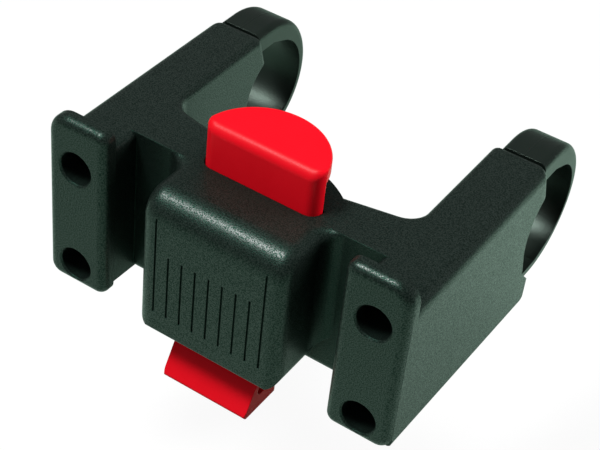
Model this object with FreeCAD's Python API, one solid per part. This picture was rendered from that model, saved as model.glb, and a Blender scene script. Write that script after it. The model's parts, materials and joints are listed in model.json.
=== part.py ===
import FreeCAD, Part
import math
import os
from FreeCAD import Vector

# A handlebar bag mount. Millimetres, +X to the right, +Y back towards the rider, +Z up.
# The origin is on the handlebar's axis, midway between the two clamps.

# Clearances
RUN_FIT = 0.05          # radial, round pin in a turning hole
SEAT_FIT = 0.02         # radial, pin held in its hole
SLIDE_GAP = 0.3         # beside pieces that slide or swing

# Handlebar and clamp straps
BAR_DIAMETER = 25.4
BAR_FIT = 0.05          # radial, bar in the closed clamp
STRAP_WIDTH = 11.2
STRAP_BACK = 2.75       # thickness behind the bar
STRAP_CROWN = 0.9       # centre of the outer curve, above the bar's axis
STRAP_SHOULDER = 6.9    # bar's axis forward to the step that meets the arm
STRAP_LEG = 3.2         # thickness of the two legs
STRAP_LEG_RISE = 0.9    # legs stand this far outside the bar's circle
STRAP_WRAP = 70.0       # degrees each way from the back that hug the bar
STRAP_EDGE = 1.8        # rounding of the outer edges
BLOCK_LENGTH = 13.0     # thick end of each leg, which holds a nut
BLOCK_REAR = 18.0       # from the bar's axis forward to the block
BLOCK_FLOOR = 1.4       # below the nut

# Clamp screws, washers and nuts
SCREW_INSET = 7.7       # from the arm's outer side
SCREW_SPREAD = 27.0     # upper to lower screw
SCREW_DIAMETER = 4.0
SCREW_LENGTH = 25.0
SCREW_HOLE = 4.4
HEAD_DIAMETER = 7.0
HEAD_HEIGHT = 4.0
HEAD_EDGE = 0.4
KEY_WIDTH = 3.0         # across the flats of the socket
KEY_DEPTH = 2.0
TIP_CHAMFER = 0.6
WASHER_DIAMETER = 8.0
WASHER_THICKNESS = 0.8
NUT_WIDTH = 7.0
NUT_HEIGHT = 3.2
NUT_FRONT = 2.4         # from the block's front face to the nut
NUT_GAP = 0.1
HEAD_BORE = 8.2
SEAT_TO_BLOCK = 15.6    # from the washer's seat to the strap's block
HEAD_BORE_EDGE = 0.4    # chamfer of the mouth

# Bracket: arms, pads and deck
PAD_REACH = 68.6        # bar's axis to the pads' front faces
HALF_WIDTH = 45.2       # to the outer side of each arm
ARM_WIDTH = 14.1
ARM_END = 7.8           # bar's axis to the rear end of the arm's top
DECK_TOP = 19.1
ARM_BOTTOM_FRONT = 18.9
ARM_BOTTOM_REAR = 21.1
ARM_OUTER_ROUND = 3.0
ARM_LOWER_ROUND = 1.2
ARM_INNER_ROUND = 1.8
ARM_END_ROUND = 2.0
HORN_ANGLE = 66.0       # degrees above the bar's axis where the saddle starts
THROAT_ANGLE = 15.0     # degrees below it where the saddle leaves the circle
THROAT_DROP = 10.0      # depth of the lower end of the saddle
LIP_TOP = 14.8
LIP_REAR = 5.8
PAD_WIDTH = 15.8
PAD_TOP = 25.5
PAD_BOTTOM = 19.4
PAD_THICKNESS = 3.6
PAD_SHOULDER = 5.0      # radius of the outer upper corner
PAD_HEEL = 3.2          # radius of the outer lower corner
PAD_CORNER = 2.5
PAD_EDGE = 2.2
WEB_FRONT = 55.6        # bar's axis to the front face of the web
WEB_BOTTOM = 19.8
WEB_REAR = 44.8         # where the bulge meets the web
WEB_SWEEP = 3.4         # the rear edge runs back this far out to the arm
WEB_CORNER = 5.0
NOTCH_CORNER = 3.8      # beside the latch housing
BULGE_HALF = 14.2
BULGE_REAR = 40.3

# Bracket: latch housing
HOUSING_HALF = 18.5
HOUSING_FRONT = 70.9
HOUSING_BOTTOM = 17.8
HOUSING_BROW = 6.5      # rounding of the front upper edge
HOUSING_EDGE = 3.4      # rounding of the upright front edges, carried on over the brow
HOUSING_EDGE_END = 0.4  # what is left of it along the top, at the web
HOUSING_FOOT = 4.5      # rounding of the lower corners
HOUSING_SOLE = 0.8      # rounding of the front lower edge
HOUSING_WALL = 2.6
HOUSING_SIDE_WALL = 3.0
HOUSING_ROOF = 2.8
WELL_HALF = 11.0        # narrow rear part of the hollow
WELL_REAR = 45.0
GROOVE_COUNT = 9
GROOVE_PITCH = 3.47
GROOVE_WIDTH = 0.5
GROOVE_DEPTH = 0.45
GROOVE_BOTTOM = 12.2
GROOVE_TOP_OUTER = 14.0
GROOVE_TOP_INNER = 5.1
SHELF_TOP = 3.0         # spring's seat, below the bar's axis
SHELF_THICKNESS = 2.0
SHELF_HALF = 5.5
STOP_HALF_GAP = 4.0     # stop ribs stand this far from the middle
STOP_WIDTH = 2.0
STOP_TOP = 2.0
STOP_HEIGHT = 10.0

# Release button
BUTTON_HALF = 14.5
BUTTON_FRONT = 55.2
BUTTON_TOP = 30.1
BUTTON_REAR = 40.3
BUTTON_PLATE = 3.4
BUTTON_WALL = 3.0
BUTTON_DEPTH = 5.0      # wall below the deck
BUTTON_CORNER = 2.8     # radius of the two front corners, seen from above
BUTTON_BROW = 2.4       # rounding of the front upper edge
BUTTON_EDGE = 0.9       # rounding of the rear upper edge
BUTTON_PRESS = 5.0
LEG_INNER = 6.0
LEG_THICKNESS = 3.5
LEG_FRONT = 53.7
LEG_REAR = 45.7
LEG_WALL = 1.4          # below the cam slot
BRIDGE_HEIGHT = 3.0
BRIDGE_BOTTOM = 12.0

# Latch
NOSE_HALF = 11.2
NOSE_TIP = 70.3
NOSE_BOTTOM = 31.0
NOSE_REAR = 57.2
NOSE_FOOT = 4.0         # height of the foot
NOSE_PLATE = 1.6        # thickness of the slanted front
NOSE_SLOPE = 29.0       # degrees from upright
NOSE_CORNER = 1.3
LATCH_FRONT = 63.2
LATCH_PLATE = 3.0
LATCH_SWING = 7.0       # degrees
PIVOT_DIAMETER = 3.0
PIVOT_Y = 61.7
PIVOT_Z = 9.0
PIVOT_SKIN = 1.0        # right-hand wall left beyond the pin's blind hole
HUB_DIAMETER = 6.4
CAM_DIAMETER = 3.0
CAM_Y = 50.8
CAM_Z = 12.0
CAM_GAP = 0.25
EAR_INNER = 2.2
EAR_THICKNESS = 3.0
EAR_DIAMETER = 5.4

# Return spring
SPRING_DIAMETER = 6.4
SPRING_WIRE = 0.8
SPRING_TURNS = 5.0
SPRING_Y = 48.6
PEG_DIAMETER = 4.0      # pegs inside the ends of the spring
PEG_HEIGHT = 2.5

# Worked-out places
SADDLE_RADIUS = BAR_DIAMETER / 2 + BAR_FIT
LEG_UNDER = SADDLE_RADIUS + STRAP_LEG_RISE
LEG_TOP = LEG_UNDER + STRAP_LEG
CROWN_TOP = LEG_TOP + 2 * STRAP_CROWN
SCREW_X = HALF_WIDTH - SCREW_INSET
SCREW_Z = SCREW_SPREAD / 2
PAD_INNER = HALF_WIDTH - PAD_WIDTH
ARM_INNER = HALF_WIDTH - ARM_WIDTH
ARM_MIDDLE = HALF_WIDTH - ARM_WIDTH / 2
BLOCK_FRONT = BLOCK_REAR + BLOCK_LENGTH
BLOCK_UNDER = SCREW_Z - NUT_WIDTH / 2 - BLOCK_FLOOR
HEAD_SEAT = -BLOCK_FRONT - SEAT_TO_BLOCK
NUT_Y = -BLOCK_FRONT + NUT_FRONT
BEHIND = 10.0           # how far cutting tools run past a face
X_AXIS = Vector(1, 0, 0)
Y_AXIS = Vector(0, 1, 0)
Z_AXIS = Vector(0, 0, 1)
ORIGIN = Vector(0, 0, 0)


def side_view(y, z):
    return Vector(0, y, z)


def plan_view(x, y):
    return Vector(x, y, 0)


def front_view(x, z):
    return Vector(x, 0, z)


def rounded_corner(before, corner, after):
    """Start, middle and end of the arc that rounds a corner given as (u, v, radius)."""
    point = Vector(corner[0], corner[1], 0)
    radius = corner[2] if len(corner) > 2 else 0
    if radius == 0:
        return point, None, point
    to_before = (Vector(before[0], before[1], 0) - point).normalize()
    to_after = (Vector(after[0], after[1], 0) - point).normalize()
    half = to_before.getAngle(to_after) / 2
    inward = (to_before + to_after).normalize()
    run = radius / math.tan(half)
    middle = point + inward * (radius / math.sin(half) - radius)
    return point + to_before * run, middle, point + to_after * run


def rounded_wire(corners, view):
    """Closed outline through (u, v) or (u, v, radius) corners, laid in the given view."""
    count = len(corners)
    rounds = [rounded_corner(corners[i - 1], corners[i], corners[(i + 1) % count]) for i in range(count)]
    edges = []
    for i, (start, middle, end) in enumerate(rounds):
        if middle is not None:
            edges.append(Part.Arc(view(*start[:2]), view(*middle[:2]), view(*end[:2])).toShape())
        following = rounds[(i + 1) % count][0]
        edges.append(Part.makeLine(view(*end[:2]), view(*following[:2])))
    return Part.Wire(edges)


def prism(wire, start, length, along):
    """Solid made by pushing an outline along an axis, from start."""
    solid = Part.Face(wire).extrude(along * length)
    solid.translate(along * start)
    return solid


def box(x, y, z):
    """Box between the (low, high) limits on each axis."""
    return Part.makeBox(x[1] - x[0], y[1] - y[0], z[1] - z[0], Vector(x[0], y[0], z[0]))


def rod(diameter, start, end):
    """Round bar between two points."""
    return Part.makeCylinder(diameter / 2, (end - start).Length, start, end - start)


def mirrored(shape):
    return shape.mirror(ORIGIN, X_AXIS)


def flipped(shape):
    return shape.mirror(ORIGIN, Z_AXIS)


def with_mirror(shape):
    return [shape, mirrored(shape)]


def edges_where(shape, test):
    return [edge for edge in shape.Edges if test(edge.CenterOfMass, edge.BoundBox)]


def near(a, b):
    return abs(a - b) < 1e-4


def throat_corner():
    """Lower end of the saddle, on the line that leaves its circle."""
    angle = math.radians(THROAT_ANGLE)
    y = -SADDLE_RADIUS * math.cos(angle)
    z = -SADDLE_RADIUS * math.sin(angle)
    return y + (THROAT_DROP + z) * math.tan(angle), -THROAT_DROP


def arm():
    """Right arm with its saddle for the bar."""
    horn = math.radians(HORN_ANGLE)
    horn_y = -SADDLE_RADIUS * math.cos(horn)
    horn_z = SADDLE_RADIUS * math.sin(horn)
    front = -PAD_REACH + PAD_THICKNESS / 2
    side = rounded_wire([(front, DECK_TOP), (-ARM_END, DECK_TOP, ARM_END_ROUND), (horn_y, horn_z),
                         (-LIP_REAR, -LIP_TOP), (-LIP_REAR, -ARM_BOTTOM_REAR, ARM_END_ROUND),
                         (front, -ARM_BOTTOM_FRONT)], side_view)
    body = prism(side, ARM_INNER, ARM_WIDTH, X_AXIS)
    outer_top = edges_where(body, lambda p, b: near(b.XMin, HALF_WIDTH) and near(b.ZMin, DECK_TOP))
    body = body.makeFillet(ARM_OUTER_ROUND, outer_top)
    return body.cut([rod(2 * SADDLE_RADIUS, Vector(0, 0, 0), Vector(HALF_WIDTH + BEHIND, 0, 0)), throat()])


def throat():
    """Cutter that opens the saddle downwards to the lower strap leg."""
    angle = math.radians(THROAT_ANGLE)
    leaves = (-SADDLE_RADIUS * math.cos(angle), -SADDLE_RADIUS * math.sin(angle))
    outline = rounded_wire([(0, leaves[1]), leaves, throat_corner(), (-LIP_REAR, -LIP_TOP), (0, -LIP_TOP)],
                           side_view)
    return prism(outline, ARM_INNER - BEHIND, ARM_WIDTH + 2 * BEHIND, X_AXIS)


def web():
    """Cross wall between the arms, with a bulge behind the button and rounded roots at the arms."""
    root = ARM_INNER + ARM_INNER_ROUND
    corner = (ARM_INNER, -WEB_REAR + WEB_SWEEP)
    meet = (BULGE_HALF, -WEB_REAR)
    after, middle, before = rounded_corner(meet, corner + (WEB_CORNER,), (ARM_INNER, 0))
    start = (root, -WEB_FRONT)
    right = [plan_view(*start), plan_view(root, before.y), plan_view(before.x, before.y)]
    left = [plan_view(-point.x, point.y) for point in reversed(right)]
    edges = [Part.makeLine(right[0], right[1]), Part.makeLine(right[1], right[2]),
             Part.Arc(right[2], plan_view(middle.x, middle.y), plan_view(after.x, after.y)).toShape(),
             Part.makeLine(plan_view(after.x, after.y), plan_view(*meet)),
             Part.Arc(plan_view(*meet), plan_view(0, -BULGE_REAR), plan_view(-meet[0], meet[1])).toShape(),
             Part.makeLine(plan_view(-meet[0], meet[1]), plan_view(-after.x, after.y)),
             Part.Arc(plan_view(-after.x, after.y), plan_view(-middle.x, middle.y), left[0]).toShape(),
             Part.makeLine(left[0], left[1]), Part.makeLine(left[1], left[2]),
             Part.makeLine(left[2], right[0])]
    wall = prism(Part.Wire(edges), -WEB_BOTTOM, WEB_BOTTOM + DECK_TOP, Z_AXIS)
    keel = edges_where(wall, lambda p, b: near(b.ZMax, -WEB_BOTTOM) and near(b.YMax, -WEB_FRONT))
    return wall.makeFillet(WEB_BOTTOM - HOUSING_BOTTOM, keel)


def pad():
    """Front plate of the right arm, with rounded corners and front edges."""
    outline = rounded_wire([(PAD_INNER, PAD_TOP, PAD_CORNER), (HALF_WIDTH, PAD_TOP, PAD_SHOULDER),
                            (HALF_WIDTH, -PAD_BOTTOM, PAD_HEEL), (PAD_INNER, -PAD_BOTTOM, PAD_CORNER)],
                           front_view)
    plate = prism(outline, -PAD_REACH, PAD_THICKNESS, Y_AXIS)
    front_edges = edges_where(plate, lambda p, b: near(b.YMax, -PAD_REACH))
    return plate.makeFillet(PAD_EDGE, front_edges)


def housing():
    """Outer block of the latch housing, flaring into the web; its edge rounding fades out in the flare."""
    rear = -WEB_FRONT + HOUSING_WALL
    reach = HOUSING_HALF + NOTCH_CORNER + HOUSING_WALL
    plan = rounded_wire([(0, -HOUSING_FRONT), (HOUSING_HALF, -HOUSING_FRONT),
                         (HOUSING_HALF, -WEB_FRONT, NOTCH_CORNER), (reach, -WEB_FRONT), (reach, rear),
                         (0, rear)], plan_view)
    side = rounded_wire([(-HOUSING_FRONT, DECK_TOP, HOUSING_BROW), (rear, DECK_TOP),
                         (rear, -HOUSING_BOTTOM), (-HOUSING_FRONT, -HOUSING_BOTTOM)], side_view)
    upright = prism(plan, -HOUSING_BOTTOM, HOUSING_BOTTOM + DECK_TOP, Z_AXIS)
    right = upright.common(prism(side, 0, reach, X_AXIS))
    flare = edges_where(right, lambda p, b: near(b.ZMin, DECK_TOP) and near(b.XLength, NOTCH_CORNER))
    right = right.makeFillet(HOUSING_EDGE, HOUSING_EDGE_END, flare).cut(housing_foot())
    return right.fuse(mirrored(right)).removeSplitter().cut(housing_sole())


def housing_sole():
    """Cutter that rounds the housing's front lower edge."""
    centre = side_view(HOUSING_SOLE - HOUSING_FRONT, HOUSING_SOLE - HOUSING_BOTTOM)
    half = X_AXIS * HOUSING_HALF
    corner = box((-HOUSING_HALF, HOUSING_HALF), (-HOUSING_FRONT - BEHIND, centre.y),
                 (-HOUSING_BOTTOM - BEHIND, centre.z))
    return corner.cut(rod(2 * HOUSING_SOLE, centre - half, centre + half))


def housing_foot():
    """Cutter that rounds the housing's lower right corner and lifts the lower end of the flare."""
    low = -HOUSING_BOTTOM - BEHIND
    flare = HOUSING_HALF + NOTCH_CORNER
    start = front_view(HOUSING_HALF - HOUSING_FOOT, -HOUSING_BOTTOM)
    end = front_view(HOUSING_HALF, HOUSING_FOOT - HOUSING_BOTTOM)
    half_way = HOUSING_FOOT * (1 - math.sqrt(0.5))
    middle = front_view(HOUSING_HALF - half_way, half_way - HOUSING_BOTTOM)
    corners = [end, front_view(flare, HOUSING_FOOT + NOTCH_CORNER - HOUSING_BOTTOM), front_view(flare, low),
               front_view(start.x, low), start]
    edges = [Part.Arc(start, middle, end).toShape()]
    edges += [Part.makeLine(a, b) for a, b in zip(corners, corners[1:])]
    return prism(Part.Wire(edges), -HOUSING_FRONT - BEHIND, HOUSING_FRONT + BEHIND - WEB_FRONT, Y_AXIS)


def housing_hollow():
    """Space for the latch and the button's legs, open below."""
    low = -WEB_BOTTOM - BEHIND
    high = DECK_TOP - HOUSING_ROOF
    half = HOUSING_HALF - HOUSING_SIDE_WALL
    wide = box((-half, half), (-HOUSING_FRONT + HOUSING_WALL, -LEG_FRONT), (low, high))
    narrow = box((-WELL_HALF, WELL_HALF), (-LEG_FRONT, -WELL_REAR), (low, high))
    return [wide, narrow]


def button_slot():
    """T-shaped slot in the roof for the button's wall and legs."""
    half = BUTTON_HALF + SLIDE_GAP
    leg = LEG_INNER + LEG_THICKNESS + SLIDE_GAP
    low = DECK_TOP - BUTTON_DEPTH - BUTTON_PRESS - SLIDE_GAP
    high = DECK_TOP + BEHIND
    wall_rear = -BUTTON_FRONT + BUTTON_WALL + SLIDE_GAP
    front = -BUTTON_FRONT - SLIDE_GAP
    corner = BUTTON_CORNER + SLIDE_GAP
    plan = [(-half, front, corner), (half, front, corner), (half, wall_rear), (-half, wall_rear)]
    wall = prism(rounded_wire(plan, plan_view), low, high - low, Z_AXIS)
    legs = box((-leg, leg), (-BUTTON_FRONT, -LEG_REAR + SLIDE_GAP), (low, high))
    return [wall, legs]


def spring_shelf():
    """Seat for the return spring on the rear wall of the hollow, with a peg inside the coil."""
    front = -SPRING_Y - SPRING_DIAMETER / 2
    shelf = box((-SHELF_HALF, SHELF_HALF), (front, -WELL_REAR), (-SHELF_TOP - SHELF_THICKNESS, -SHELF_TOP))
    foot = Vector(0, -SPRING_Y, -SHELF_TOP)
    return [shelf, rod(PEG_DIAMETER, foot, foot + Z_AXIS * PEG_HEIGHT)]


def stop_rib():
    """Rib inside the front wall that the latch rests against."""
    depth = (-HOUSING_FRONT + HOUSING_WALL, -LATCH_FRONT - SLIDE_GAP)
    return box((STOP_HALF_GAP, STOP_HALF_GAP + STOP_WIDTH), depth, (STOP_TOP - STOP_HEIGHT, STOP_TOP))


def grooves():
    """Upright grooves in the housing's front face; the outer two are longer."""
    cutters = []
    middle = (GROOVE_COUNT - 1) / 2
    for i in range(GROOVE_COUNT):
        x = (i - middle) * GROOVE_PITCH
        top = GROOVE_TOP_OUTER if i in (0, GROOVE_COUNT - 1) else GROOVE_TOP_INNER
        cutters.append(box((x - GROOVE_WIDTH / 2, x + GROOVE_WIDTH / 2),
                           (-HOUSING_FRONT - BEHIND, -HOUSING_FRONT + GROOVE_DEPTH), (-GROOVE_BOTTOM, top)))
    return cutters


def screw_bores():
    """Counterbored screw holes through the right pad and arm."""
    cutters = []
    for z in (SCREW_Z, -SCREW_Z):
        mouth = Vector(SCREW_X, -PAD_REACH - BEHIND, z)
        cutters.append(rod(HEAD_BORE, mouth, Vector(SCREW_X, HEAD_SEAT, z)))
        cutters.append(Part.makeCone(HEAD_BORE / 2 + HEAD_BORE_EDGE, HEAD_BORE / 2, HEAD_BORE_EDGE,
                                     Vector(SCREW_X, -PAD_REACH, z), Y_AXIS))
        cutters.append(rod(SCREW_HOLE, mouth, Vector(SCREW_X, -BLOCK_FRONT, z)))
    return cutters


def strap_channels():
    """Open channels in the rear of the right arm for the strap's two ends."""
    half = STRAP_WIDTH / 2 + SLIDE_GAP
    channel = box((ARM_MIDDLE - half, ARM_MIDDLE + half), (-BLOCK_FRONT - SLIDE_GAP, BEHIND),
                  (BLOCK_UNDER - SLIDE_GAP, LEG_TOP + SLIDE_GAP))
    return [channel, flipped(channel)]


def bracket():
    """Main moulding: arms, pads, deck and latch housing in one piece."""
    body = web().fuse(with_mirror(arm())).removeSplitter()
    inner_top = edges_where(body, lambda p, b: near(b.ZMin, DECK_TOP) and near(b.ZMax, DECK_TOP)
                            and (p.y > -WEB_REAR and BULGE_HALF < abs(p.x) < ARM_INNER + 1e-3
                                 or p.y < -WEB_FRONT and near(abs(p.x), ARM_INNER)))
    body = body.makeFillet(ARM_INNER_ROUND, inner_top)
    outer_low = edges_where(body, lambda p, b: near(abs(p.x), HALF_WIDTH)
                            and near(b.ZMax, -ARM_BOTTOM_FRONT))
    body = body.makeFillet(ARM_LOWER_ROUND, outer_low)
    body = body.fuse([housing()] + with_mirror(pad())).removeSplitter()
    body = body.cut(housing_hollow() + button_slot())
    body = body.fuse(spring_shelf() + with_mirror(stop_rib())).removeSplitter()
    pivot = rod(PIVOT_DIAMETER + 2 * SEAT_FIT, Vector(-HOUSING_HALF - BEHIND, -PIVOT_Y, PIVOT_Z),
                Vector(HOUSING_HALF - PIVOT_SKIN, -PIVOT_Y, PIVOT_Z))
    cutters = grooves() + [pivot]
    for cutter in screw_bores() + strap_channels():
        cutters += with_mirror(cutter)
    return body.cut(cutters)


def strap_outline():
    """Side view of a strap: hugs the bar inside, one round curve outside, a block at each end."""
    wrap = math.radians(STRAP_WRAP)
    bend = (SADDLE_RADIUS * math.cos(wrap), SADDLE_RADIUS * math.sin(wrap))
    flat = bend[0] - (LEG_UNDER - bend[1]) * math.tan(wrap)
    radius = LEG_TOP + STRAP_CROWN
    centre = SADDLE_RADIUS + STRAP_BACK - radius
    leg = [bend, (flat, LEG_UNDER), (-BLOCK_REAR, LEG_UNDER), (-BLOCK_REAR, BLOCK_UNDER),
           (-BLOCK_FRONT, BLOCK_UNDER)]
    upper = [side_view(y, z) for y, z in leg + [(-BLOCK_FRONT, CROWN_TOP), (centre, CROWN_TOP)]]
    lower = [side_view(y, -z) for y, z in leg + [(-BLOCK_FRONT, LEG_TOP), (centre, LEG_TOP)]]
    edges = [Part.Arc(lower[0], side_view(SADDLE_RADIUS, 0), upper[0]).toShape()]
    edges += [Part.makeLine(a, b) for a, b in zip(upper, upper[1:])]
    edges.append(Part.Arc(upper[-1], side_view(centre + radius, STRAP_CROWN), lower[-1]).toShape())
    edges += [Part.makeLine(b, a) for a, b in zip(reversed(lower[:-1]), reversed(lower[1:]))]
    return Part.Wire(Part.__sortEdges__(edges))


def strap():
    """Right clamp strap: a loop behind the bar whose thick ends hold the nuts."""
    body = prism(strap_outline(), ARM_MIDDLE - STRAP_WIDTH / 2, STRAP_WIDTH, X_AXIS)
    outer = edges_where(body, lambda p, b: near(b.XMin, b.XMax)
                        and (near(b.ZMax, -LEG_TOP) or near(b.ZMin, CROWN_TOP)
                             or near(b.YMax, SADDLE_RADIUS + STRAP_BACK)))
    body = body.makeFillet(STRAP_EDGE, outer)
    step = (-BLOCK_FRONT - BEHIND, -STRAP_SHOULDER)
    cutters = [box((ARM_INNER, HALF_WIDTH), step, (LEG_TOP, CROWN_TOP + BEHIND))]
    for turn in (lambda shape: shape, flipped):
        bore = rod(SCREW_HOLE, Vector(SCREW_X, -BLOCK_FRONT - BEHIND, SCREW_Z),
                   Vector(SCREW_X, -BLOCK_REAR, SCREW_Z))
        half = NUT_WIDTH / 2 + NUT_GAP
        length = (NUT_Y - NUT_GAP, NUT_Y + NUT_HEIGHT + NUT_GAP)
        pocket = box((SCREW_X - half, SCREW_X + half), length, (SCREW_Z - half, LEG_TOP + BEHIND))
        cutters += [turn(bore), turn(pocket)]
    return body.cut(cutters)


def screw(z):
    """Socket-head clamp screw on the right, its head towards the front."""
    under_head = HEAD_SEAT - WASHER_THICKNESS
    head_front = Vector(SCREW_X, under_head - HEAD_HEIGHT, z)
    seat = Vector(SCREW_X, under_head, z)
    tip = Vector(SCREW_X, under_head + SCREW_LENGTH, z)
    head = rod(HEAD_DIAMETER, head_front, seat)
    head = head.makeFillet(HEAD_EDGE, edges_where(head, lambda p, b: near(b.YMax, head_front.y)))
    shank = rod(SCREW_DIAMETER, seat, tip)
    shank = shank.makeChamfer(TIP_CHAMFER, edges_where(shank, lambda p, b: near(b.YMin, tip.y)))
    corner = KEY_WIDTH / math.sqrt(3)
    turns = [math.radians(60 * i) for i in range(6)]
    flats = [(SCREW_X + corner * math.cos(turn), z + corner * math.sin(turn)) for turn in turns]
    key = prism(rounded_wire(flats, front_view), head_front.y, KEY_DEPTH, Y_AXIS)
    return head.fuse(shank).removeSplitter().cut(key)


def washer(z):
    """Flat washer between the screw head and its seat."""
    front = Vector(SCREW_X, HEAD_SEAT - WASHER_THICKNESS, z)
    back = Vector(SCREW_X, HEAD_SEAT, z)
    return rod(WASHER_DIAMETER, front, back).cut(rod(SCREW_HOLE, front, back))


def nut(z):
    """Square nut in the strap's block; the screw runs through it."""
    half = NUT_WIDTH / 2
    block = box((SCREW_X - half, SCREW_X + half), (NUT_Y, NUT_Y + NUT_HEIGHT), (z - half, z + half))
    front = Vector(SCREW_X, NUT_Y, z)
    return block.cut(rod(SCREW_DIAMETER + 2 * RUN_FIT, front, front + Y_AXIS * NUT_HEIGHT))


def cam_slot_ends():
    """Where the cam pin lies in the button's legs at rest and when the button is fully pressed."""
    swing = math.radians(LATCH_SWING)
    y = PIVOT_Y - CAM_Y
    z = -CAM_Z - PIVOT_Z
    turned = (-PIVOT_Y + y * math.cos(swing) - z * math.sin(swing),
              PIVOT_Z + y * math.sin(swing) + z * math.cos(swing))
    return side_view(-CAM_Y, -CAM_Z), side_view(turned[0], turned[1] + BUTTON_PRESS)


def button_leg():
    """Right leg of the button with the slanted slot that drives the latch."""
    rest, pressed = cam_slot_ends()
    radius = CAM_DIAMETER / 2 + CAM_GAP
    low = rest.z - radius - LEG_WALL
    plate = box((LEG_INNER, LEG_INNER + LEG_THICKNESS), (-LEG_FRONT, -LEG_REAR),
                (low, BUTTON_TOP - BUTTON_PLATE))
    across = (pressed - rest).cross(X_AXIS).normalize() * radius
    corners = [rest + across, pressed + across, pressed - across, rest - across]
    slot = Part.Face(Part.makePolygon(corners + corners[:1]))
    through = X_AXIS * (LEG_INNER + LEG_THICKNESS + BEHIND)
    ends = [rod(2 * radius, point, point + through) for point in (rest, pressed)]
    return plate.cut([slot.extrude(through)] + ends)


def button_plan():
    """Right half of the button seen from above: straight in front, a rounded corner, round behind."""
    across = BUTTON_HALF - BUTTON_CORNER
    depth = BUTTON_FRONT - BUTTON_CORNER - BUTTON_REAR
    radius = (across ** 2 + depth ** 2 - BUTTON_CORNER ** 2) / (2 * (depth - BUTTON_CORNER))
    middle = plan_view(0, -BUTTON_REAR - radius)
    corner = plan_view(across, BUTTON_CORNER - BUTTON_FRONT)
    outward = (corner - middle).normalize()
    front = plan_view(0, -BUTTON_FRONT)
    start = corner - Y_AXIS * BUTTON_CORNER
    bend = corner + (outward - Y_AXIS).normalize() * BUTTON_CORNER
    end = middle + outward * radius
    side = middle + (outward + Y_AXIS).normalize() * radius
    rear = plan_view(0, -BUTTON_REAR)
    return Part.Wire([Part.makeLine(front, start), Part.Arc(start, bend, end).toShape(),
                      Part.Arc(end, side, rear).toShape(), Part.makeLine(rear, front)])


def button_head():
    """Thumb plate and front wall of the button; the upper edge is rounded most in front."""
    under = BUTTON_TOP - BUTTON_PLATE
    low = DECK_TOP - BUTTON_DEPTH
    front = -BUTTON_FRONT
    half = prism(button_plan(), low, BUTTON_TOP - low, Z_AXIS)
    corner = edges_where(half, lambda p, b: near(b.ZMin, BUTTON_TOP) and near(b.YMin, front)
                         and b.XMin > BUTTON_EDGE)
    half = half.makeFillet(BUTTON_BROW, BUTTON_EDGE, corner)
    head = half.fuse(mirrored(half)).removeSplitter()
    return head.cut(box((-BUTTON_HALF, BUTTON_HALF), (front + BUTTON_WALL, -BUTTON_REAR), (low, under)))


def button():
    """Red release button: thumb plate, front wall, two slotted legs and a spring bridge."""
    bridge = box((-LEG_INNER, LEG_INNER), (-LEG_FRONT, -LEG_REAR),
                 (BRIDGE_BOTTOM, BRIDGE_BOTTOM + BRIDGE_HEIGHT))
    seat = Vector(0, -SPRING_Y, BRIDGE_BOTTOM)
    peg = rod(PEG_DIAMETER, seat, seat - Z_AXIS * PEG_HEIGHT)
    return button_head().fuse([bridge, peg] + with_mirror(button_leg())).removeSplitter()


def latch():
    """Red latch: hanging plate with a slanted nose and foot, a hub on the pivot and two cam ears."""
    slope = math.tan(math.radians(NOSE_SLOPE))
    back = -LATCH_FRONT + LATCH_PLATE
    foot_top = -NOSE_BOTTOM + NOSE_FOOT
    nose_back = -NOSE_TIP + NOSE_FOOT * slope + NOSE_PLATE / math.cos(math.radians(NOSE_SLOPE))
    outline = rounded_wire([(-NOSE_TIP, -NOSE_BOTTOM, NOSE_CORNER / 2),
                            (-NOSE_REAR, -NOSE_BOTTOM, NOSE_CORNER),
                            (-NOSE_REAR, foot_top, NOSE_CORNER), (nose_back, foot_top, NOSE_CORNER),
                            (back, foot_top + (back - nose_back) / slope), (back, PIVOT_Z),
                            (-LATCH_FRONT, PIVOT_Z),
                            (-LATCH_FRONT, -NOSE_BOTTOM + (NOSE_TIP - LATCH_FRONT) / slope)], side_view)
    plan = rounded_wire([(-NOSE_HALF, -NOSE_TIP, NOSE_CORNER), (NOSE_HALF, -NOSE_TIP, NOSE_CORNER),
                         (NOSE_HALF, -NOSE_REAR, NOSE_CORNER), (-NOSE_HALF, -NOSE_REAR, NOSE_CORNER)],
                        plan_view)
    plate = prism(outline, -NOSE_HALF, 2 * NOSE_HALF, X_AXIS)
    plate = plate.common(prism(plan, -NOSE_BOTTOM, NOSE_BOTTOM + PIVOT_Z, Z_AXIS))
    hub_half = X_AXIS * (HOUSING_HALF - HOUSING_SIDE_WALL - SLIDE_GAP)
    pivot = side_view(-PIVOT_Y, PIVOT_Z)
    hub = rod(HUB_DIAMETER, pivot - hub_half, pivot + hub_half)
    cam = side_view(-CAM_Y, -CAM_Z)
    ear_x = (EAR_INNER, EAR_INNER + EAR_THICKNESS)
    ear_z = (-CAM_Z - EAR_DIAMETER / 2, -CAM_Z + EAR_DIAMETER / 2)
    strip = box(ear_x, (-LATCH_FRONT + LATCH_PLATE / 2, -CAM_Y), ear_z)
    ear = strip.fuse(rod(EAR_DIAMETER, cam + X_AXIS * ear_x[0], cam + X_AXIS * ear_x[1]))
    body = plate.fuse([hub] + with_mirror(ear)).removeSplitter()
    wide = X_AXIS * (HOUSING_HALF + BEHIND)
    return body.cut([rod(PIVOT_DIAMETER + 2 * RUN_FIT, pivot - wide, pivot + wide),
                     rod(CAM_DIAMETER + 2 * SEAT_FIT, cam - wide, cam + wide)])


def pivot_pin():
    """Pin the latch swings on, pushed in through the left wall."""
    half = X_AXIS * (HOUSING_HALF - PIVOT_SKIN - SLIDE_GAP)
    centre = side_view(-PIVOT_Y, PIVOT_Z)
    return rod(PIVOT_DIAMETER, centre - half, centre + half)


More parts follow.
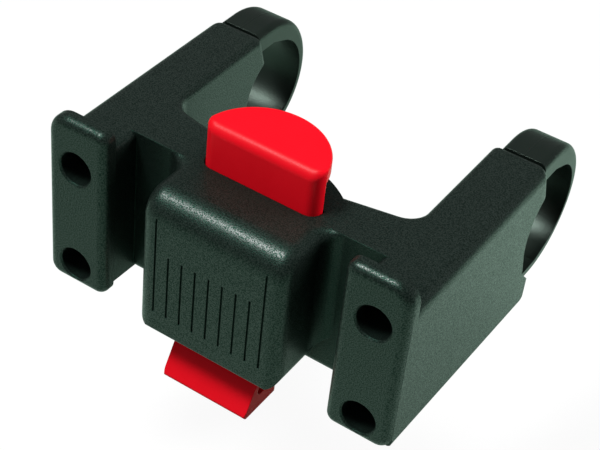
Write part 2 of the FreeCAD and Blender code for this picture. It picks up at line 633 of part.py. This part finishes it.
def cam_pin():
    """Pin in the latch's ears that rides in the button's slots."""
    half = X_AXIS * (LEG_INNER + LEG_THICKNESS)
    centre = side_view(-CAM_Y, -CAM_Z)
    return rod(CAM_DIAMETER, centre - half, centre + half)


def spring():
    """Compression spring between the shelf and the button's bridge."""
    low = -SHELF_TOP + SPRING_WIRE / 2
    height = BRIDGE_BOTTOM + SHELF_TOP - SPRING_WIRE
    radius = (SPRING_DIAMETER - SPRING_WIRE) / 2
    path = Part.Wire(Part.makeHelix(height / SPRING_TURNS, height, radius))
    ring = Part.Wire(Part.makeCircle(SPRING_WIRE / 2, Vector(radius, 0, 0), Y_AXIS))
    coil = path.makePipeShell([ring], True, True)
    coil.translate(Vector(0, -SPRING_Y, low))
    return Part.Solid(coil) if coil.ShapeType != "Solid" else coil


def build():
    parts = {"bracket": bracket(), "release_button": button(), "latch": latch(), "pivot_pin": pivot_pin(),
             "cam_pin": cam_pin(), "return_spring": spring()}
    fittings = {"clamp_strap": strap()}
    for level, z in (("upper", SCREW_Z), ("lower", -SCREW_Z)):
        fittings[level + "_screw"] = screw(z)
        fittings[level + "_washer"] = washer(z)
        fittings[level + "_nut"] = nut(z)
    for name, shape in fittings.items():
        parts["right_" + name] = shape
        parts["left_" + name] = mirrored(shape)
    return parts


os.makedirs("parts", exist_ok=True)
for node, shape in build().items():
    shape.exportStep("parts/" + node + ".step")
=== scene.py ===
import json
import bmesh
import bpy
from mathutils import Matrix, Vector


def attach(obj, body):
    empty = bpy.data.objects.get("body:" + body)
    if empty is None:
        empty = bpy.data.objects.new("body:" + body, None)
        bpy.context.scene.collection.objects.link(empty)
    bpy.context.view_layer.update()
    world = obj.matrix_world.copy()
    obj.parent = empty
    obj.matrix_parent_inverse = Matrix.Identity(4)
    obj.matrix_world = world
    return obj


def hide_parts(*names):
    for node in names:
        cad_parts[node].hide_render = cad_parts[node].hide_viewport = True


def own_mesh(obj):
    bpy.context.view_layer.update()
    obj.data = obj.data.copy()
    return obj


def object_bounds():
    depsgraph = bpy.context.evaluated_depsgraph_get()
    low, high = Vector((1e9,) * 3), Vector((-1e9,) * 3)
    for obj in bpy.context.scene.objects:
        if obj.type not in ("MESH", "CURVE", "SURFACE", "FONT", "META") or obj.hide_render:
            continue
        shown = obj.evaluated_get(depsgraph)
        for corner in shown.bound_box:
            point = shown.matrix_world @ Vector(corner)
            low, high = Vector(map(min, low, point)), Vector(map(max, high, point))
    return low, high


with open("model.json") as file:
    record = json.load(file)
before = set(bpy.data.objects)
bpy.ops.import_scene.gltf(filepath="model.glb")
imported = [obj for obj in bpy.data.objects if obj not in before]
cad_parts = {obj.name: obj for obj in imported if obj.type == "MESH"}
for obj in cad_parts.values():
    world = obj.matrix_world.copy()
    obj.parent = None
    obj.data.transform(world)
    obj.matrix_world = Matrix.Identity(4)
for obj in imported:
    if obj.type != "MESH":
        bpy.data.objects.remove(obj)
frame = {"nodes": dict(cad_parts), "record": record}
cad_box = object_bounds()

# Sizes are in metres.
MM = 0.001
STRAP_MIDDLE = 38.15 * MM   # from the middle of the part to the middle of each strap
STRAP_INSIDE = 14.2 * MM    # radius from the bar's axis, between the strap's inside and outside
FLOOR_GAP = 45 * MM         # the part hangs on a bar, so the floor is this far below it
FLOOR_SIZE = 8.0
SHADE_REACH = 14 * MM      # reach of the ambient occlusion that paints shade into recesses: darker colour and less coat gloss
GRAIN_SCALE = 3600.0        # moulded grain, per metre
WHITE = (1.0, 1.0, 1.0, 1.0)


class Socket:
    """A socket of a material's node. Arithmetic on it adds Math nodes, and node() adds any other node."""

    def __init__(self, tree, output=None):
        self.tree = tree
        self.output = output

    def node(self, kind, settings, sockets, out=0):
        """Adds a node: its settings come first, then the values or links of its sockets."""
        new = self.tree.nodes.new("ShaderNode" + kind)
        for name, value in settings.items():
            setattr(new, name, value)
        for name, value in sockets.items():
            if isinstance(value, Socket):
                self.tree.links.new(value.output, new.inputs[name])
            else:
                new.inputs[name].default_value = value
        return Socket(self.tree, new.outputs[out] if len(new.outputs) else None)

    def maths(self, operation, first, second):
        return self.node("Math", {"operation": operation}, {0: first, 1: second})

    def __add__(self, other):
        return self.maths("ADD", self, other)

    def __radd__(self, other):
        return self.maths("ADD", other, self)

    def __sub__(self, other):
        return self.maths("SUBTRACT", self, other)

    def __rsub__(self, other):
        return self.maths("SUBTRACT", other, self)

    def __mul__(self, other):
        return self.maths("MULTIPLY", self, other)

    def __rmul__(self, other):
        return self.maths("MULTIPLY", other, self)


def new_material(name):
    """An empty material, with a socket to start its nodes from."""
    material = bpy.data.materials.new(name)
    material.use_nodes = True
    material.node_tree.nodes.clear()
    return material, Socket(material.node_tree)


def finish_material(start, shader):
    start.node("OutputMaterial", {}, {"Surface": shader})


def tint(start, factor, dark, light):
    """Colour that runs from dark to light with the factor."""
    return start.node("Mix", {"data_type": "RGBA"}, {
        "Factor": factor, "A": dark + (1.0,), "B": light + (1.0,)}, 2)


def noise(start, place, scale, detail, roughness):
    return start.node("TexNoise", {}, {
        "Vector": place, "Scale": scale, "Detail": detail, "Roughness": roughness})


def worn_edge_normal(start, radius):
    """Surface direction with the moulded edges slightly softened."""
    return start.node("Bevel", {"samples": 6}, {"Radius": radius})


def stretched(start, value, low, high, dull, full):
    """Carries a value between low and high over to the span from dull to full."""
    return start.node("MapRange", {}, {
        "Value": value, "From Min": low, "From Max": high, "To Min": dull, "To Max": full})


def painted_shade_openness(start, reach):
    """Ambient-occlusion openness of a spot, used for painted shade: recesses get a darker colour and less
    coat gloss, and open faces keep both.
    """
    openness = start.node("AmbientOcclusion", {"samples": 8}, {"Distance": reach}, "AO")
    return stretched(start, openness, 0.4, 0.95, 0.0, 1.0)


def eroded_plastic(name, dark, light):
    """Black moulded plastic with the matt grain of a spark-eroded mould: dull pits, brighter lands, and
    painted shade in its recesses.
    """
    material, start = new_material(name)
    place = start.node("TexCoord", {}, {}, "Object")
    grain = noise(start, place, GRAIN_SCALE, 1.0, 0.5)
    pits = start.node("TexVoronoi", {"feature": "SMOOTH_F1"}, {
        "Vector": place, "Scale": 3300.0, "Smoothness": 0.3})
    flow = noise(start, place, 55.0, 2.0, 0.5)
    height = 0.7 * grain + 0.4 * pits
    bump = start.node("Bump", {}, {"Strength": 1.0, "Distance": 0.1 * MM, "Height": height,
                                   "Normal": worn_edge_normal(start, 0.3 * MM)})
    speck = stretched(start, grain, 0.37, 0.63, 0.0, 1.0)
    # Painted shade: ambient occlusion darkens the base colour and takes away the coat's gloss in recesses
    # and between parts.
    unshaded_share = painted_shade_openness(start, SHADE_REACH)
    shader = start.node("BsdfPrincipled", {}, {
        "Base Color": tint(start, (0.8 * speck + 0.2 * flow) * (0.2 + 0.8 * unshaded_share), dark, light),
        "Roughness": 0.34 + 0.08 * speck + 0.05 * flow,
        "Specular IOR Level": 0.22, "Specular Tint": (0.3, 1.0, 0.7, 1.0),
        "Coat Weight": speck * unshaded_share, "Coat Roughness": 0.3, "Coat IOR": 1.4,
        "Normal": bump})
    finish_material(start, shader)
    return material


def parting_line(start, place):
    """Height of the fine mould line that runs round the outside of each strap, in its middle."""
    across = start.node("SeparateXYZ", {}, {"Vector": place}, "X")
    back = start.node("SeparateXYZ", {}, {"Vector": place}, "Y")
    up = start.node("SeparateXYZ", {}, {"Vector": place}, "Z")
    outward = start.node("Math", {"operation": "ABSOLUTE"}, {0: across})
    away = start.node("Math", {"operation": "ABSOLUTE"}, {0: outward - STRAP_MIDDLE})
    outside = start.maths("GREATER_THAN", back * back + up * up, STRAP_INSIDE * STRAP_INSIDE)
    return outside * stretched(start, away, 0.22 * MM, 0.06 * MM, 0.0, 1.0)


def smooth_plastic(name, dark, light):
    """Satin black plastic of the straps, with a fine grain and a mould line."""
    material, start = new_material(name)
    place = start.node("TexCoord", {}, {}, "Object")
    flow = noise(start, place, 90.0, 3.0, 0.55)
    grain = noise(start, place, GRAIN_SCALE, 1.0, 0.5)
    height = 0.5 * grain + parting_line(start, place)
    bump = start.node("Bump", {}, {"Strength": 0.7, "Distance": 0.1 * MM, "Height": height,
                                   "Normal": worn_edge_normal(start, 0.25 * MM)})
    shader = start.node("BsdfPrincipled", {}, {
        "Base Color": tint(start, 0.5 * flow + 0.5 * grain, dark, light),
        "Roughness": 0.30 + 0.10 * flow,
        "Specular IOR Level": 0.5, "Specular Tint": (0.75, 1.0, 0.86, 1.0), "Normal": bump})
    finish_material(start, shader)
    return material


def red_plastic(name, deep, bright, specular):
    """Red satin plastic of the button and the latch, solid-coloured with a very fine grain."""
    material, start = new_material(name)
    place = start.node("TexCoord", {}, {}, "Object")
    flow = noise(start, place, 120.0, 3.0, 0.5)
    grain = noise(start, place, 2400.0, 2.0, 0.6)
    bump = start.node("Bump", {}, {"Strength": 0.5, "Distance": 0.06 * MM, "Height": grain,
                                   "Normal": worn_edge_normal(start, 0.3 * MM)})
    shader = start.node("BsdfPrincipled", {}, {
        "Base Color": tint(start, 0.7 * flow + 0.3 * grain, deep, bright),
        "Roughness": 0.34 + 0.08 * flow,
        "Specular IOR Level": specular, "Normal": bump})
    finish_material(start, shader)
    return material


def zinc_steel(name, dull, bright):
    """Zinc-plated steel of the screws, washers, nuts, pins and spring."""
    material, start = new_material(name)
    place = start.node("TexCoord", {}, {}, "Object")
    spangle = noise(start, place, 900.0, 3.0, 0.6)
    bump = start.node("Bump", {}, {"Strength": 0.2, "Distance": 0.02 * MM, "Height": spangle,
                                   "Normal": worn_edge_normal(start, 0.15 * MM)})
    shader = start.node("BsdfPrincipled", {}, {
        "Base Color": tint(start, spangle, dull, bright),
        "Metallic": 1.0, "Roughness": 0.30 + 0.15 * spangle, "Normal": bump})
    finish_material(start, shader)
    return material


def paint_nodes():
    """Gives every solid its finish by the record's material slot."""
    finishes = {
        "bracket_plastic": eroded_plastic(
            "bracket plastic", (0.004, 0.0065, 0.0055), (0.0145, 0.0215, 0.018)),
        "strap_plastic": smooth_plastic(
            "strap plastic", (0.004, 0.007, 0.0055), (0.009, 0.0135, 0.011)),
        "red_plastic": red_plastic("red plastic", (0.78, 0.003, 0.011), (0.88, 0.005, 0.016), 0.14),
        "steel": zinc_steel("zinc-plated steel", (0.42, 0.42, 0.43), (0.62, 0.62, 0.63))}
    for part in frame["record"]["subparts"]:
        node = frame["nodes"][part["node"]]
        node.data.materials.clear()
        node.data.materials.append(finishes[part["material_slot"]])


def shortening_spring():
    """Smooth-shaded copy of the return spring with its doubled vertices merged, attached to the bracket in
    place of the CAD spring.
    """
    node = frame["nodes"]["return_spring"]
    wire = bmesh.new()
    wire.from_mesh(node.data)
    bmesh.ops.remove_doubles(wire, verts=wire.verts, dist=0.001 * MM)
    for face in wire.faces:
        face.smooth = True
    coils = bpy.data.meshes.new("spring_coils")
    wire.to_mesh(coils)
    wire.free()
    coils.materials.append(node.data.materials[0])
    spring = bpy.data.objects.new("spring_coils", coils)
    bpy.context.scene.collection.objects.link(spring)
    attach(spring, "bracket")
    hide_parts("return_spring")
    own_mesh(spring)


def pale_floor():
    """Wide pale floor below the part; it looks white to the camera and still takes the part's shadow."""
    bpy.ops.mesh.primitive_plane_add(size=FLOOR_SIZE, location=(0, 0, 0))
    floor = bpy.context.object
    floor.name = "floor"
    floor.data.transform(Matrix.Translation((0, 0, cad_box[0][2] - FLOOR_GAP)))
    material, start = new_material("pale floor")
    seen = start.node("LightPath", {}, {}, "Is Camera Ray")
    mirrored = start.node("LightPath", {}, {}, "Is Glossy Ray")
    through = start.node("LightPath", {}, {}, "Is Transmission Ray")
    shaded = tint(start, mirrored + through, (0.2, 0.2, 0.2), (0.40, 0.58, 0.475))
    pale = start.node("Mix", {"data_type": "RGBA"}, {
        "Factor": seen, "A": shaded, "B": (0.95, 0.95, 0.95, 1.0)}, 2)
    lit = start.node("BsdfDiffuse", {}, {"Color": pale})
    white = start.node("Emission", {}, {"Color": WHITE, "Strength": 1.0})
    finish_material(start, start.node("MixShader", {}, {0: 0.9 * seen, 1: lit, 2: white}))
    floor.data.materials.append(material)


def studio_surroundings():
    """White behind the part for the camera, a dim room for its light, and a trace of white in its gloss."""
    world = bpy.data.worlds.new("studio")
    bpy.context.scene.world = world
    world.use_nodes = True
    world.node_tree.nodes.clear()
    start = Socket(world.node_tree)
    seen = start.node("LightPath", {}, {}, "Is Camera Ray")
    mirrored = start.node("LightPath", {}, {}, "Is Glossy Ray")
    through = start.node("LightPath", {}, {}, "Is Transmission Ray")
    room = start.node("Background", {}, {"Color": WHITE, "Strength": 0.08})
    white = start.node("Background", {}, {"Color": WHITE, "Strength": 1.0})
    mixed = start.node("MixShader", {}, {0: seen + 0.07 * (mirrored + through), 1: room, 2: white})
    start.node("OutputWorld", {}, {"Surface": mixed})


def softbox(name, direction, distance, size, watts, target, in_gloss):
    """Square area lamp that faces the target from the given direction, and shows in the gloss or not."""
    lamp = bpy.data.lights.new(name, "AREA")
    lamp.size = size
    lamp.energy = watts
    box = bpy.data.objects.new(name, lamp)
    aim = Vector(direction).normalized()
    turn = aim.to_track_quat("Z", "Y").to_matrix().to_4x4()
    box.matrix_world = Matrix.Translation(Vector(target) + aim * distance) @ turn
    box.visible_glossy = in_gloss
    bpy.context.scene.collection.objects.link(box)


def studio_lights():
    """Main light from above, a light behind the part for its right side and a weak one in front."""
    softbox("overhead softbox", (-0.3, -0.33, 0.89), 0.9, 0.24, 7.9, (0, -0.03, 0), True)
    softbox("rear softbox", (0.7, 0.6, 0.6), 0.6, 0.3, 4.1, (0.06, 0.05, -0.06), False)
    softbox("front softbox", (-0.1, -0.75, 0.65), 1.0, 0.7, 1.1, (0, -0.06, -0.01), False)


def photo_camera():
    """Camera where the photograph was taken from."""
    lens = bpy.data.cameras.new("camera")
    lens.sensor_fit = "HORIZONTAL"
    lens.sensor_width = 36.0
    lens.lens = 94.52
    camera = bpy.data.objects.new("camera", lens)
    place = Vector((132.98, -272.14, 224.92)) * MM
    right = Vector((0.8297, 0.5512, 0.0886))
    up = Vector((-0.4138, 0.5007, 0.7603))
    back = Vector((0.3747, -0.6675, 0.6435))
    turn = Matrix((right, up, back)).transposed().to_4x4()
    camera.matrix_world = Matrix.Translation(place) @ turn
    bpy.context.scene.collection.objects.link(camera)
    bpy.context.scene.camera = camera


bpy.context.scene.view_settings.view_transform = "Standard"
paint_nodes()
shortening_spring()
pale_floor()
studio_surroundings()
studio_lights()
photo_camera()
